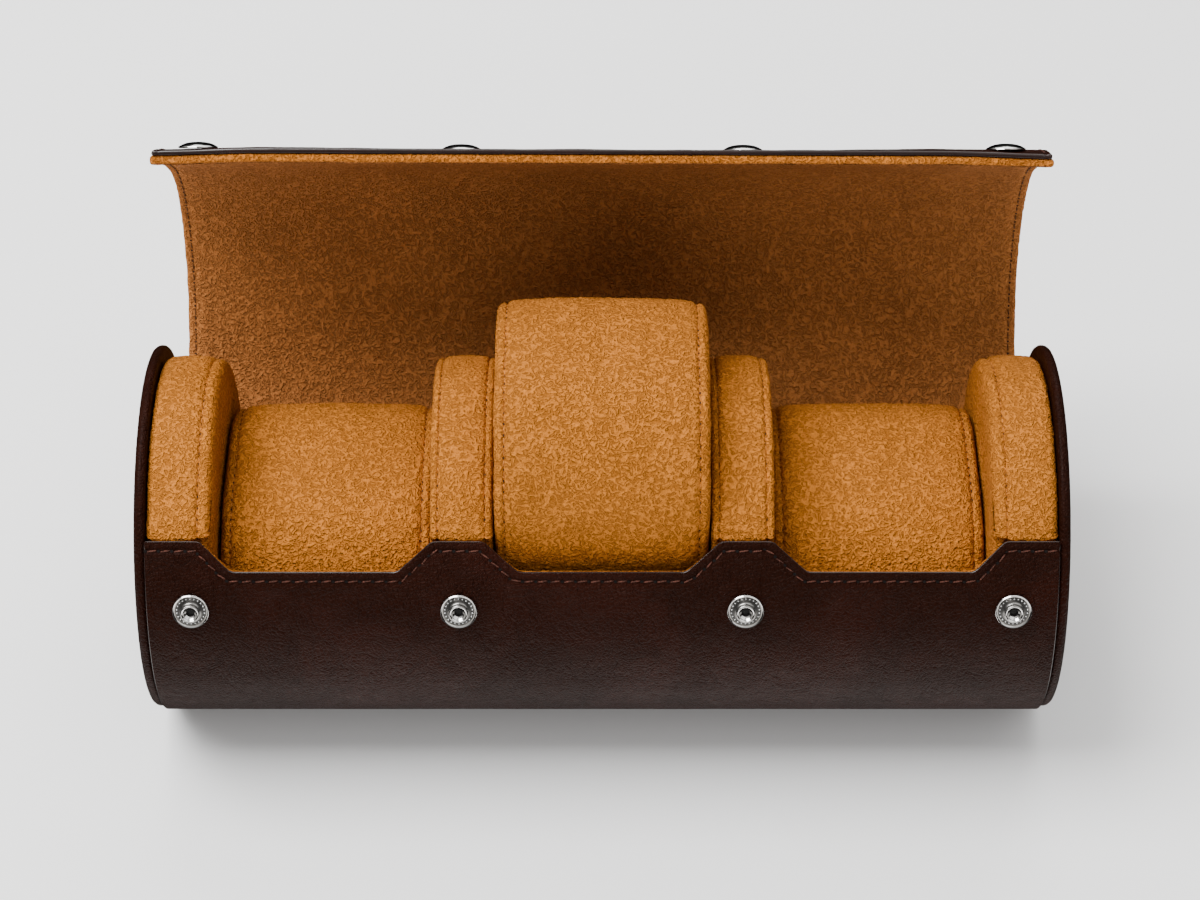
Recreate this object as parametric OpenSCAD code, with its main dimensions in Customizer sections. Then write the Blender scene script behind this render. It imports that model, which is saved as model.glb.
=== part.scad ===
// Watch travel case: a half-open leather drum with a curved lid on a leather
// hinge, a press-stud flap, padded end walls and dividers, and three watch
// cushions. The drum lies along X, +Z is up and the front faces -Y. The origin
// is the centre of the flat that the case stands on. Angles round the drum are
// measured from the front level line upwards: 0 is front, 90 is the top.

/* [Drum] */
// Outer radius of the leather drum
body_r = 44; // [40:0.5:50]
// Half of the drum's length, without the end caps
half_len = 104; // [96:0.5:112]
// How far the underside is flattened so that the case stands
flat_drop = 1.96; // [1.5:0.02:2.4]
// Angle of the drum's rear rim, where its board and lining end
rear_angle = 190; // [186:1:192]
// Angle at which the drum's leather ends and the hinge strip starts
seam_angle = 199; // [197:1:202]
// Height angle of the low stretches of the front edge
scallop_angle = 31; // [28:0.5:33]
// How far the tabs stand above the low stretches
tab_rise = 7.1; // [5:0.1:8]
// Distance of the two middle tabs from the centre
tab_x = 32.85; // [30:0.05:36]
// Width along the top of a middle tab
tab_top = 11.9; // [10:0.1:14]
// Sideways run of a tab's slope
tab_slope = 7.8; // [6:0.1:9]
// Width of an end tab at its full height
end_tab_w = 12.6; // [10:0.1:15]
// Sideways run of an end tab's slope
end_tab_slope = 6.9; // [5:0.1:9]
// Rounding of the tab corners
tab_round = 2.2; // [1:0.1:3]

/* [Materials] */
// Thickness of the outer leather
leather_t = 1.2; // [0.9:0.1:1.5]
// Thickness of the stiffening board in the drum
board_t = 1.9; // [1.5:0.1:2.2]
// Thickness of the suede lining
suede_t = 0.8; // [0.6:0.1:1]
// Glue gap between two fixed layers
glue = 0.05; // [0.03:0.01:0.08]
// Depth of the lining's turned edge below the leather edge
lining_drop = 0.3; // [0.1:0.1:0.8]

/* [End caps] */
// Radius of the leather end cap
cap_r = 43.2; // [42:0.1:43.4]
// Total thickness of the end cap
cap_t = 2.6; // [2.2:0.1:3]
// Thickness of the cap's leather
cap_leather_t = 1.3; // [1:0.1:1.5]
// Rounding of the cap's rolled rim
cap_round = 1.2; // [0.8:0.1:1.3]
// Width of the board's rim that the cap's cup holds
cap_wall = 1.4; // [1.2:0.1:1.8]

/* [Compartments] */
// Clear width of a watch compartment
bay_w = 49.8; // [46:0.1:52]
// Thickness of a divider between two compartments
divider_t = 14.5; // [12:0.1:15]
// Radius of the exposed tops of dividers and end pads
crown_r = 41.4; // [41:0.1:41.8]
// How far the exposed tops are set forward
crown_shift = 1; // [0.6:0.1:1.4]
// Angle behind which the pads have the drum's own radius again
crown_rear = 154; // [150:1:156]
// Rounding of the padded rims
pad_round = 2.6; // [1.5:0.1:3]
// Thickness of the stiff disc inside a divider
core_t = 1.6; // [1:0.1:2]

/* [Cushions] */
// Depth of a cushion, front to back
cushion_d = 68.2; // [64:0.2:70]
// Height of a cushion before the drum trims its underside
cushion_h = 60.7; // [56:0.1:63]
// Corner radius of a cushion
cushion_round = 26.4; // [22:0.2:28]
// How far a cushion sits towards the rear
cushion_back = 2.2; // [1:0.1:2.6]
// Height of a seated cushion's centre over the drum's axis
cushion_z = -9.4; // [-11:0.1:-8]
// How far the middle cushion is drawn out
lift = 34; // [30:0.5:36]
// Rounding of a cushion's side edges
cushion_edge = 1.6; // [1:0.1:2]
// Gap round a part that moves
run_gap = 0.3; // [0.25:0.05:0.4]

/* [Lid] */
// How far the closed lid's centre is set forward
lid_shift = 1.9; // [1.8:0.05:2.1]
// Thickness of the lid's stiffening board
lid_board_t = 0.7; // [0.5:0.05:0.8]
// Angle of the closed lid's rear edge, where the hinge strip ends
lid_rear = 158; // [156:1:160]
// Angle of the closed lid's fold line, where the flap starts
fold_angle = 52; // [50:1:54]
// Angle of the closed flap's free edge
flap_edge = 11; // [9:0.5:12]
// Width of the turned lining along the lid's sides
lid_hem = 2.2; // [1.5:0.1:3]
// How far the lid stands open
open_angle = 84; // [80:1:86]
// How far the flap stands out from the lid's curve
flap_out = 17.5; // [12:0.5:22]
// How far the lid's turning centre lies inside the drum's rear
pole_in = 13.2; // [12.5:0.1:14]
// Depth of the lid's turning centre below the drum's axis
pole_drop = 0.6; // [0:0.1:1.2]

/* [Press studs] */
// Angle of the press studs round the drum
snap_angle = 18.6; // [16:0.2:20]
// Distance of the outer press studs from the drum's ends
snap_end = 10.2; // [8:0.1:14]
// Distance of the inner press studs from the centre
snap_inner = 32.7; // [30:0.1:36]
// Diameter of the stud and socket rims
rim_d = 8.8; // [8:0.1:9.2]
// Thickness of the stud and socket rims
rim_t = 0.6; // [0.5:0.05:0.65]
// Diameter of the stud's head
head_d = 4.6; // [4.2:0.1:4.8]
// Height of the stud's head over its rim
head_h = 1.6; // [1.4:0.05:1.65]
// Diameter of the neck under the stud's head
neck_d = 3.7; // [3.5:0.1:3.8]
// Height of the neck under the stud's head
neck_h = 0.7; // [0.6:0.05:0.8]
// Diameter of the hole in the stud's head
eye_d = 2.2; // [1.8:0.1:2.4]
// Height of the hole's floor over the stud's rim
eye_floor = 0.5; // [0.4:0.05:0.6]
// Diameter of the rivet shanks
shank_d = 3; // [2.8:0.1:3.2]
// Gap round a shank in its hole
shank_gap = 0.1; // [0.05:0.05:0.15]
// Gap round the stud's head in the socket
socket_gap = 0.3; // [0.25:0.05:0.35]
// Wall of the socket's barrel
socket_wall = 0.5; // [0.4:0.05:0.55]
// Diameter of the socket's spring wire
wire_d = 0.5; // [0.4:0.05:0.5]
// Diameter of the domed cap
dome_d = 9.2; // [8.6:0.1:9.6]
// Height of the domed cap
dome_h = 1.6; // [1.2:0.1:1.8]

/* [Hidden] */

$fn = 96;
leather_colour = "#3a211d";
suede_colour = "#b4743a";
lid_suede_colour = "#7c4a1e";
board_colour = "#8d8577";
foam_colour = "#e6dfcf";
metal_colour = "#c9c9cc";

axis_z = body_r - flat_drop;
far = 2 * body_r;
board_r = body_r - leather_t - glue;
lining_r = board_r - board_t - glue;
bore_r = lining_r - suede_t;
pad_r = bore_r - glue;
wall = suede_t + glue;
divider_x = bay_w / 2 + divider_t / 2;
end_pad_x = bay_w * 1.5 + divider_t;
end_pad_t = half_len - end_pad_x - glue;
bay_x = bay_w + divider_t;
cushion_w = bay_w - 2 * run_gap;

lid_stack = leather_t + lid_board_t + suede_t + 2 * glue;
lid_r = body_r - lid_shift * cos(lid_rear);
lid_board_r = lid_r - leather_t - glue;
lid_lining_r = lid_board_r - lid_board_t - glue;
lid_bore_r = lid_r - lid_stack;
lid_half = half_len - run_gap;
fold_gap = 0.1;
pole_y = body_r - pole_in;
end_tab_x = half_len - end_tab_w;
snap_outer = half_len - snap_end;
snap_xs = [-snap_outer, -snap_inner, snap_inner, snap_outer];

stud_top = body_r + rim_t;
post_reach = rim_t / 2;
leather_bore = body_r - leather_t;
post_top = sqrt(leather_bore * leather_bore - rim_d * rim_d / 4) - glue;
post_face = post_top - rim_t;
flap_face = shifted_r(lid_bore_r, snap_angle);
flap_top = shifted_r(lid_r, snap_angle);
socket_face = stud_top + run_gap / 2;
barrel_d = head_d + 2 * socket_gap + 2 * socket_wall;
plate_t = 0.3;
barrel_top = stud_top + head_h + run_gap / 2 + plate_t;

// Distance from the drum's axis to a lid surface of radius r, at an angle.
function shifted_r(r, a) = lid_shift * cos(a) + sqrt(r * r - pow(lid_shift * sin(a), 2));

// Point at an angle round a centre that is set forward by shift.
function at_angle(r, a, shift = 0) = [-shift - r * cos(a), r * sin(a)];

// Point of the closed lid turned about the lid's centre to where it stands open.
function turned(p) = let (y = p[0] - pole_y, z = p[1] + pole_drop)
    [pole_y + y * cos(open_angle) + z * sin(open_angle),
        -pole_drop - y * sin(open_angle) + z * cos(open_angle)];

// Direction of the wall at an angle round the drum, towards smaller angles.
function along_wall(a) = [-sin(a), -cos(a)];

// Curve that leaves the drum's wall at angle a and runs into the open lid.
function strip_curve(a, drum_r, lid_r, steps) = let (
    start = at_angle(drum_r, a),
    end = turned(at_angle(lid_r, lid_rear, lid_shift)),
    pull = norm(end - start) / 3,
    leave = start + along_wall(a) * pull,
    arrive = end - along_wall(lid_rear + open_angle) * pull)
    [for (i = [0 : steps]) let (t = i / steps, u = 1 - t)
        u * u * u * start + 3 * u * u * t * leave + 3 * u * t * t * arrive + t * t * t * end];

// Arc that rounds the corner q between p and s.
function corner(p, q, s, r, steps = 5) = let (
    u = (p - q) / norm(p - q),
    v = (s - q) / norm(s - q),
    half = acos(u * v) / 2,
    centre = q + (u + v) / norm(u + v) * r / sin(half),
    a = q + u * r / tan(half) - centre,
    side = sign(u[0] * v[1] - u[1] * v[0]),
    sweep = (180 - 2 * half) * side)
    [for (i = [0 : steps]) let (t = -sweep * i / steps)
        centre + [a[0] * cos(t) - a[1] * sin(t), a[0] * sin(t) + a[1] * cos(t)]];

// Front edge of the drum, from one end to the other, as height over the low stretches.
edge_corners = let (foot = tab_x - tab_top / 2 - tab_slope, foot_out = tab_x + tab_top / 2 + tab_slope)
    [[-far - half_len, tab_rise], [-end_tab_x, tab_rise], [end_tab_slope - end_tab_x, 0],
    [-foot_out, 0], [-foot_out + tab_slope, tab_rise], [-foot - tab_slope, tab_rise], [-foot, 0],
    [foot, 0], [foot + tab_slope, tab_rise], [foot_out - tab_slope, tab_rise], [foot_out, 0],
    [end_tab_x - end_tab_slope, 0], [end_tab_x, tab_rise], [far + half_len, tab_rise]];
edge_line = [for (i = [1 : len(edge_corners) - 2])
    each corner(edge_corners[i - 1], edge_corners[i], edge_corners[i + 1], tab_round)];

// Extrudes a profile in the Y-Z plane along X, centred on x.
module along_x(width, x = 0) {
    translate([x - width / 2, 0, axis_z]) rotate([90, 0, 90]) linear_extrude(width) children();
}

// Turns a profile of radius and width about the drum's axis, starting at x.
module round_x(x = 0) {
    translate([x, 0, axis_z]) rotate([0, 90, 0]) rotate_extrude() children();
}

module flat_circle(r) {
    intersection() {
        circle(r);
        translate([-far, flat_drop - r]) square([2 * far, 2 * far]);
    }
}

module ring(outer, inner) {
    difference() {
        circle(outer);
        circle(inner);
    }
}

// Wedge between two angles round the drum.
module wedge(from, to, shift = 0) {
    middle = (from + to) / 2;
    polygon([[-shift, 0], at_angle(far, from, shift), at_angle(far, middle, shift), at_angle(far, to, shift)]);
}

module lid_layer(outer, inner, from, to) {
    intersection() {
        translate([-lid_shift, 0]) ring(outer, inner);
        wedge(from, to, lid_shift);
    }
}

// Everything above the front edge's outline, lowered by drop.
module above_edge(drop) {
    translate([0, 0, axis_z]) rotate([90 - scallop_angle, 0, 0]) translate([0, -drop, body_r * 0.6])
        linear_extrude(body_r) polygon(concat([[-far - half_len, body_r * 0.7]],
            [[-far - half_len, tab_rise]], edge_line,
            [[far + half_len, tab_rise]], [[far + half_len, body_r * 0.7]]));
}

// A layer of the drum wall between two radii, open at the top.
module drum_layer(outer, inner, drop, rear) {
    difference() {
        along_x(2 * half_len) difference() {
            flat_circle(outer);
            flat_circle(inner);
            wedge(scallop_angle + 12, 120);
            wedge(110, rear);
        }
        above_edge(drop);
    }
}

// Puts children on the press stud's line, with +Z pointing away from the axis.
module on_snap(i, r = 0) {
    translate([snap_xs[i - 1], 0, axis_z]) rotate([90 - snap_angle, 0, 0]) translate([0, 0, r]) children();
}

module snap_holes(d, from, to) {
    for (i = [1 : 4]) on_snap(i, from) cylinder(d = d, h = to - from, $fn = 48);
}

// Turns a closed lid piece to where it stands open.
module opened() {
    translate([0, pole_y, axis_z - pole_drop]) rotate([-open_angle, 0, 0])
        translate([0, -pole_y, pole_drop - axis_z]) children();
}

// Turns a closed flap piece out about the fold line and then open with the lid.
module flapped() {
    fold = at_angle(lid_r, fold_angle, lid_shift);
    opened() translate([0, fold[0], fold[1] + axis_z]) rotate([-flap_out, 0, 0])
        translate([0, -fold[0], -fold[1] - axis_z]) children();
}

module body_leather() {
    color(leather_colour) difference() {
        drum_layer(body_r, body_r - leather_t, 0, seam_angle);
        snap_holes(shank_d + 2 * shank_gap, body_r - 2 * leather_t, body_r + leather_t);
    }
}

module body_board() {
    color(board_colour) difference() {
        drum_layer(board_r, board_r - board_t, suede_t + glue + lining_drop, rear_angle);
        snap_holes(rim_d, post_face - glue, board_r + rim_t);
    }
}

module body_lining() {
    color(suede_colour) {
        drum_layer(lining_r, bore_r, lining_drop, rear_angle);
        difference() {
            drum_layer(board_r, lining_r, lining_drop, rear_angle);
            along_x(3 * half_len) wedge(60, rear_angle);
            difference() {
                along_x(3 * half_len) wedge(-120, 60);
                above_edge(suede_t + lining_drop);
            }
            along_x(3 * half_len) wedge(rear_angle - 1, 240);
        }
    }
}

// A cup of leather that closes one end of the drum.
module end_cap(side) {
    color(leather_colour) mirror([side < 0 ? 1 : 0, 0, 0]) intersection() {
        round_x(half_len) difference() {
            union() {
                square([cap_r, cap_t - cap_round]);
                square([cap_r - cap_round, cap_t]);
                translate([cap_r - cap_round, cap_t - cap_round]) circle(cap_round, $fn = 32);
            }
            translate([-cap_round, -cap_round])
                square([cap_r - cap_wall + cap_round, cap_t - cap_leather_t + cap_round]);
            translate([-cap_round, -2 * cap_round]) square([far, 2 * cap_round]);
        }
        translate([half_len, -far, 0]) cube([far, 2 * far, 2 * far]);
    }
}

module end_board(side) {
    color(board_colour) mirror([side < 0 ? 1 : 0, 0, 0]) intersection() {
        round_x(half_len + glue) square([cap_r - cap_wall - glue, cap_t - cap_leather_t - 2 * glue]);
        translate([half_len, -far, leather_t + glue]) cube([far, 2 * far, 2 * far]);
    }
}

// Padded disc: a rim of radius r with rounded edges, t thick, pulled in by inset.
module rim_disc(r, t, inset, x) {
    edge = max(pad_round - inset, 0.4);
    translate([x + inset, 0, 0]) rotate([0, 90, 0]) rotate_extrude() {
        translate([0, edge]) square([r - inset, t - 2 * inset - 2 * edge]);
        square([r - inset - edge, t - 2 * inset]);
        for (y = [edge, t - 2 * inset - edge]) translate([r - inset - edge, y]) circle(edge, $fn = 32);
    }
}

// The padded disc with its crown, cut to stand in the flattened drum.
module padded_disc(t, x, inset) {
    translate([0, 0, axis_z]) intersection() {
        union() {
            rim_disc(pad_r, t, inset, x);
            intersection() {
                translate([0, -crown_shift, 0]) rim_disc(crown_r, t, inset, x);
                translate([0, 0, -axis_z]) along_x(5 * half_len) wedge(45, crown_rear);
            }
        }
        translate([-2 * half_len, -far, flat_drop - pad_r + inset]) cube([4 * half_len, 2 * far, 2 * far]);
    }
}

module pad_shell(t, x) {
    difference() {
        padded_disc(t, x, 0);
        padded_disc(t, x, suede_t);
    }
}

module end_pad_cover(side) {
    color(suede_colour) mirror([side < 0 ? 1 : 0, 0, 0]) pad_shell(end_pad_t, end_pad_x);
}

module end_pad_foam(side) {
    color(foam_colour) mirror([side < 0 ? 1 : 0, 0, 0]) padded_disc(end_pad_t, end_pad_x, wall);
}

module divider_cover(side) {
    color(suede_colour) mirror([side < 0 ? 1 : 0, 0, 0]) pad_shell(divider_t, bay_w / 2);
}

module divider_foam(side) {
    color(foam_colour) mirror([side < 0 ? 1 : 0, 0, 0]) difference() {
        padded_disc(divider_t, bay_w / 2, wall);
        translate([divider_x - core_t / 2 - glue, -far, -far]) cube([core_t + 2 * glue, 2 * far, 3 * far]);
    }
}

module divider_core(side) {
    color(board_colour) mirror([side < 0 ? 1 : 0, 0, 0]) intersection() {
        round_x(divider_x - core_t / 2) square([pad_r - wall - glue, core_t]);
        translate([0, -far, axis_z + flat_drop - pad_r + wall]) cube([4 * half_len, 2 * far, 2 * far]);
    }
}

// Flexible strip from the drum at angle a to the lid, t thick, as it lies when open.
module strip(a, drum_r, lid_edge_r, t) {
    steps = 16;
    outside = strip_curve(a, drum_r, lid_edge_r, steps);
    inside = strip_curve(a, drum_r - t, lid_edge_r - t, steps);
    along_x(2 * lid_half) polygon(concat(outside, [for (i = [steps : -1 : 0]) inside[i]]));
}

module hinge_leather() {
    color(leather_colour) strip(seam_angle, body_r, lid_r, leather_t);
}

module hinge_lining() {
    color(lid_suede_colour) strip(rear_angle, bore_r + suede_t, lid_bore_r + suede_t, suede_t);
}

module lid_leather() {
    color(leather_colour) opened() along_x(2 * lid_half)
        lid_layer(lid_r, lid_r - leather_t, fold_angle, lid_rear - fold_gap);
}

module lid_board() {
    color(board_colour) opened() along_x(2 * lid_half - 2 * lid_hem)
        lid_layer(lid_board_r, lid_board_r - lid_board_t, fold_angle, lid_rear - fold_gap);
}

module lid_lining() {
    color(lid_suede_colour) opened() {
        along_x(2 * lid_half) lid_layer(lid_lining_r, lid_bore_r, fold_angle, lid_rear - fold_gap);
        for (side = [-1, 1]) along_x(lid_hem - glue, side * (lid_half - (lid_hem - glue) / 2))
            lid_layer(lid_board_r, lid_lining_r, fold_angle, lid_rear - fold_gap);
    }
}

module flap_leather() {
    color(leather_colour) flapped() difference() {
        along_x(2 * lid_half) lid_layer(lid_r, lid_r - leather_t, flap_edge, fold_angle - fold_gap);
        snap_holes(shank_d + 2 * shank_gap, flap_face, flap_top + leather_t);
        snap_holes(barrel_d + 2 * shank_gap, flap_face, barrel_top + glue);
    }
}

module flap_lining() {
    color(lid_suede_colour) flapped() difference() {
        along_x(2 * lid_half) lid_layer(lid_board_r, lid_bore_r, flap_edge, fold_angle - fold_gap);
        snap_holes(barrel_d + 2 * shank_gap, flap_face - rim_t, flap_top);
        snap_holes(rim_d + 2 * shank_gap, flap_face - rim_t, socket_face + rim_t + glue);
    }
}

module cushion_profile(inset) {
    half_d = cushion_d / 2 - cushion_round;
    half_h = cushion_h / 2 - cushion_round;
    intersection() {
        translate([cushion_back, cushion_z]) {
            for (y = [-half_d, half_d], z = [-half_h, half_h]) translate([y, z]) circle(cushion_round - inset);
            square([cushion_d - 2 * inset, 2 * half_h], center = true);
            square([2 * half_d, cushion_h - 2 * inset], center = true);
        }
        flat_circle(bore_r - run_gap - inset);
    }
}

module cushion_cover(x, up) {
    side_t = suede_t + glue;
    color(suede_colour) translate([0, 0, up]) along_x(cushion_w - 2 * side_t, x) difference() {
        cushion_profile(0);
        cushion_profile(suede_t);
    }
}

module cushion_sides(x, up) {
    color(suede_colour) translate([0, 0, up]) for (side = [-1, 1])
        along_x(suede_t, x + side * (cushion_w - suede_t) / 2) cushion_profile(cushion_edge);
}

module cushion_foam(x, up) {
    color(foam_colour) translate([0, 0, up])
        along_x(cushion_w - 2 * wall, x) cushion_profile(wall);
}

// Press stud: rim, neck and hollow head.
module snap_stud(i) {
    color(metal_colour) on_snap(i, body_r) difference() {
        union() {
            cylinder(d = rim_d, h = rim_t, $fn = 64);
            cylinder(d = neck_d, h = rim_t + head_h, $fn = 48);
            translate([0, 0, rim_t + neck_h]) cylinder(d = head_d, h = head_h - neck_h, $fn = 48);
        }
        translate([0, 0, rim_t + eye_floor]) cylinder(d = eye_d, h = head_h, $fn = 32);
        translate([0, 0, -rim_t]) cylinder(d = shank_d + 2 * shank_gap, h = rim_t + post_reach + glue, $fn = 32);
    }
}

// Rivet that holds the stud from behind the leather.
module snap_post(i) {
    color(metal_colour) on_snap(i, post_face) {
        cylinder(d = rim_d - 2 * shank_gap, h = rim_t, $fn = 48);
        cylinder(d = shank_d, h = body_r + post_reach - post_face, $fn = 32);
    }
}

// Domed cap on the outside of the flap, with its shank.
module snap_cap(i) {
    dome_r = (dome_d * dome_d / 4 + dome_h * dome_h) / (2 * dome_h);
    color(metal_colour) flapped() {
        on_snap(i, flap_top + glue) intersection() {
            translate([0, 0, dome_h - dome_r]) sphere(dome_r, $fn = 96);
            cylinder(d = dome_d, h = dome_h);
        }
        on_snap(i, barrel_top) cylinder(d = shank_d, h = flap_top - barrel_top + dome_h / 2, $fn = 32);
    }
}

// Socket on the inside of the flap that takes the stud's head.
module snap_socket(i) {
    wire_x = neck_d / 2 + shank_gap + wire_d / 2;
    color(metal_colour) flapped() on_snap(i, socket_face) difference() {
        union() {
            cylinder(d = rim_d, h = rim_t, $fn = 64);
            cylinder(d = barrel_d, h = barrel_top - socket_face, $fn = 48);
        }
        translate([0, 0, -rim_t]) cylinder(d = head_d + 2 * socket_gap,
            h = barrel_top - plate_t - socket_face + rim_t, $fn = 48);
        for (x = [-wire_x, wire_x]) translate([x, 0, rim_t / 2])
            cube([wire_d + 2 * glue, rim_d * 0.8, wire_d + 2 * glue], center = true);
    }
}

// Pairs of spring wires that grip the neck of each stud.
module socket_springs() {
    wire_x = neck_d / 2 + shank_gap + wire_d / 2;
    color(metal_colour) flapped() for (i = [1 : 4], x = [-wire_x, wire_x])
        on_snap(i, socket_face + rim_t / 2) translate([x, 0, 0]) rotate([90, 0, 0])
            cylinder(d = wire_d, h = rim_d * 0.78, center = true, $fn = 16);
}

body_leather();
body_board();
body_lining();
end_cap(-1);  // end_cap_left
end_cap(1);  // end_cap_right
end_board(-1);  // end_board_left
end_board(1);  // end_board_right
end_pad_cover(-1);  // end_pad_cover_left
end_pad_cover(1);  // end_pad_cover_right
end_pad_foam(-1);  // end_pad_foam_left
end_pad_foam(1);  // end_pad_foam_right
divider_cover(-1);  // divider_cover_left
divider_cover(1);  // divider_cover_right
divider_foam(-1);  // divider_foam_left
divider_foam(1);  // divider_foam_right
divider_core(-1);  // divider_core_left
divider_core(1);  // divider_core_right
hinge_leather();
hinge_lining();
lid_leather();
lid_board();
lid_lining();
flap_leather();
flap_lining();
cushion_cover(-bay_x, 0);  // cushion_cover_left
cushion_cover(0, lift);  // cushion_cover_middle
cushion_cover(bay_x, 0);  // cushion_cover_right
cushion_sides(-bay_x, 0);  // cushion_sides_left
cushion_sides(0, lift);  // cushion_sides_middle
cushion_sides(bay_x, 0);  // cushion_sides_right
cushion_foam(-bay_x, 0);  // cushion_foam_left
cushion_foam(0, lift);  // cushion_foam_middle
cushion_foam(bay_x, 0);  // cushion_foam_right
snap_stud(1);  // snap_stud_1
snap_stud(2);  // snap_stud_2
snap_stud(3);  // snap_stud_3
snap_stud(4);  // snap_stud_4
snap_post(1);  // snap_post_1
snap_post(2);  // snap_post_2
snap_post(3);  // snap_post_3
snap_post(4);  // snap_post_4
snap_cap(1);  // snap_cap_1
snap_cap(2);  // snap_cap_2
snap_cap(3);  // snap_cap_3
snap_cap(4);  // snap_cap_4
snap_socket(1);  // snap_socket_1
snap_socket(2);  // snap_socket_2
snap_socket(3);  // snap_socket_3
snap_socket(4);  // snap_socket_4
socket_springs();
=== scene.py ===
import math

import bpy
import numpy as np
from mathutils import Matrix, Vector


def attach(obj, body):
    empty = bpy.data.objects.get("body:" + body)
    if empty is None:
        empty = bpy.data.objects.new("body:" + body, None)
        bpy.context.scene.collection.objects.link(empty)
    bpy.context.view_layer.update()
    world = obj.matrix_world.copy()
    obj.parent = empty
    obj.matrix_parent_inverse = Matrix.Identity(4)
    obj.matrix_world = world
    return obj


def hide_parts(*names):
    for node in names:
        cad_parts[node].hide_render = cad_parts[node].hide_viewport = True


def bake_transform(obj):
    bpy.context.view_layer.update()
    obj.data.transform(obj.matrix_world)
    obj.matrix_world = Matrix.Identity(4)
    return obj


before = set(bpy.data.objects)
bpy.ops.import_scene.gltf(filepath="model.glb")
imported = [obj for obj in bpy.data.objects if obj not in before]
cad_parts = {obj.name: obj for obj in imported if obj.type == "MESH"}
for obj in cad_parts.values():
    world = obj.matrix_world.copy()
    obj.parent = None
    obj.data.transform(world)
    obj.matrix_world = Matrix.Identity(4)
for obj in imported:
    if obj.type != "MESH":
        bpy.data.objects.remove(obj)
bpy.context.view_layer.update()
mm = 0.001

# Sizes are in millimetres and degrees, if nothing else is said. Angles run round the drum: 0 is level at
# the front, 90 the top and 180 the rear.
drum = {"axisZ": 42.04, "leatherR": 44, "boardR": 42.75, "boreR": 40, "halfLength": 104,
        "leatherThick": 1.2, "flatSoft": 0.3, "seamAngle": 199, "rimAngle": 190}
frontEdge = {"angle": 31, "rise": 7.1, "tabX": 32.85, "tabTop": 11.9, "slope": 7.8,
             "endTabX": 91.4, "endSlope": 6.86, "round": 2.2, "leastRound": 0.4,
             "beyond": 130, "stitchInset": 2.35}
lid = {"shift": 1.9, "outerR": 45.76, "liningR": 44.51, "boreR": 42.96, "rearAngle": 158,
       "foldAngle": 52, "freeAngle": 11, "open": 84, "poleY": 30.8, "poleZ": -0.6,
       "halfLength": 104.2, "flapHalf": 104.4, "leatherIn": 0.45}
flapBend = {"from": 62, "most": 18.5, "reach": 50, "lean": 48, "widens": 12, "rounds": 40}  # the flap uncurls
flapHang = {"droop": 0.9, "droopFrom": 30, "corners": (78, 106), "sway": 0.005,
            "sag": 0.45, "sagAcross": (75, 45), "sagFront": (11, 17), "sagRear": (45, 25)}
snapPlace = {"angle": 18.6, "xs": (-93.8, -32.7, 32.7, 93.8), "capSinks": (0.05, 0.35, 0.35, 0.05)}


def flattened(height):  # keeps a height off the floor, softly; far from the floor nothing changes
    over = height / drum["flatSoft"]
    return drum["flatSoft"] * math.log1p(math.exp(over)) if over < 30 else height


def onDrum(x, angle, radius):  # a point at an angle round the drum, flattened underneath
    a = math.radians(angle)
    depth = drum["leatherR"] - radius
    z = drum["axisZ"] + radius * math.sin(a)
    return Vector((x, -radius * math.cos(a), depth + flattened(z - depth))) * mm


def turnAbout(point, centre, degrees):  # turns (y, z) about a centre, towards the rear
    a = math.radians(degrees)
    y, z = point[0] - centre[0], point[1] - centre[1]
    return (centre[0] + y * math.cos(a) + z * math.sin(a), centre[1] - y * math.sin(a) + z * math.cos(a))


def closedLid(angle, radius):  # (y, z) of the closed lid from the drum's axis
    a = math.radians(angle)
    return (-lid["shift"] - radius * math.cos(a), radius * math.sin(a))


def easeBetween(low, high, value):
    t = min(1, max(0, (value - low) / (high - low)))
    return t * t * (3 - 2 * t)


def turnedLid(angle, radius, flapTurn):  # (y, z) of the open lid, its flap turned back by an angle
    point = turnAbout(closedLid(angle, radius), closedLid(lid["foldAngle"], lid["outerR"]), flapTurn)
    return Vector(turnAbout(point, (lid["poleY"], lid["poleZ"]), lid["open"]))


bendStart = turnedLid(flapBend["from"], lid["outerR"], 0)
bendLine = Vector((-math.cos(math.radians(flapBend["lean"])), math.sin(math.radians(flapBend["lean"]))))
flapTurns = {}


def flapTurn(angle):  # eases the flap's turn by how far it lies past the bend line
    if angle not in flapTurns:
        turn = 0
        for _ in range(flapBend["rounds"] if angle < flapBend["from"] else 0):
            gone = (turnedLid(angle, lid["outerR"], turn) - bendStart).dot(bendLine)
            turn = (turn + flapBend["most"] * easeBetween(0, flapBend["reach"], gone)) / 2
        flapTurns[angle] = turn
    return flapTurns[angle]


def lidPoint(angle, radius):  # (y, z) from the drum's axis
    return turnedLid(angle, radius, flapTurn(angle))


def roundCorner(before, corner, after, radius, steps=5):
    u, v = (before - corner).normalized(), (after - corner).normalized()
    half = u.angle(v) / 2
    centre = corner + (u + v).normalized() * radius / math.sin(half)
    start = corner + u * radius / math.tan(half) - centre
    sweep = (math.pi - 2 * half) * (-1 if u.x * v.y - u.y * v.x > 0 else 1)
    return [centre + Matrix.Rotation(sweep * i / steps, 2) @ start for i in range(steps + 1)]


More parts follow.
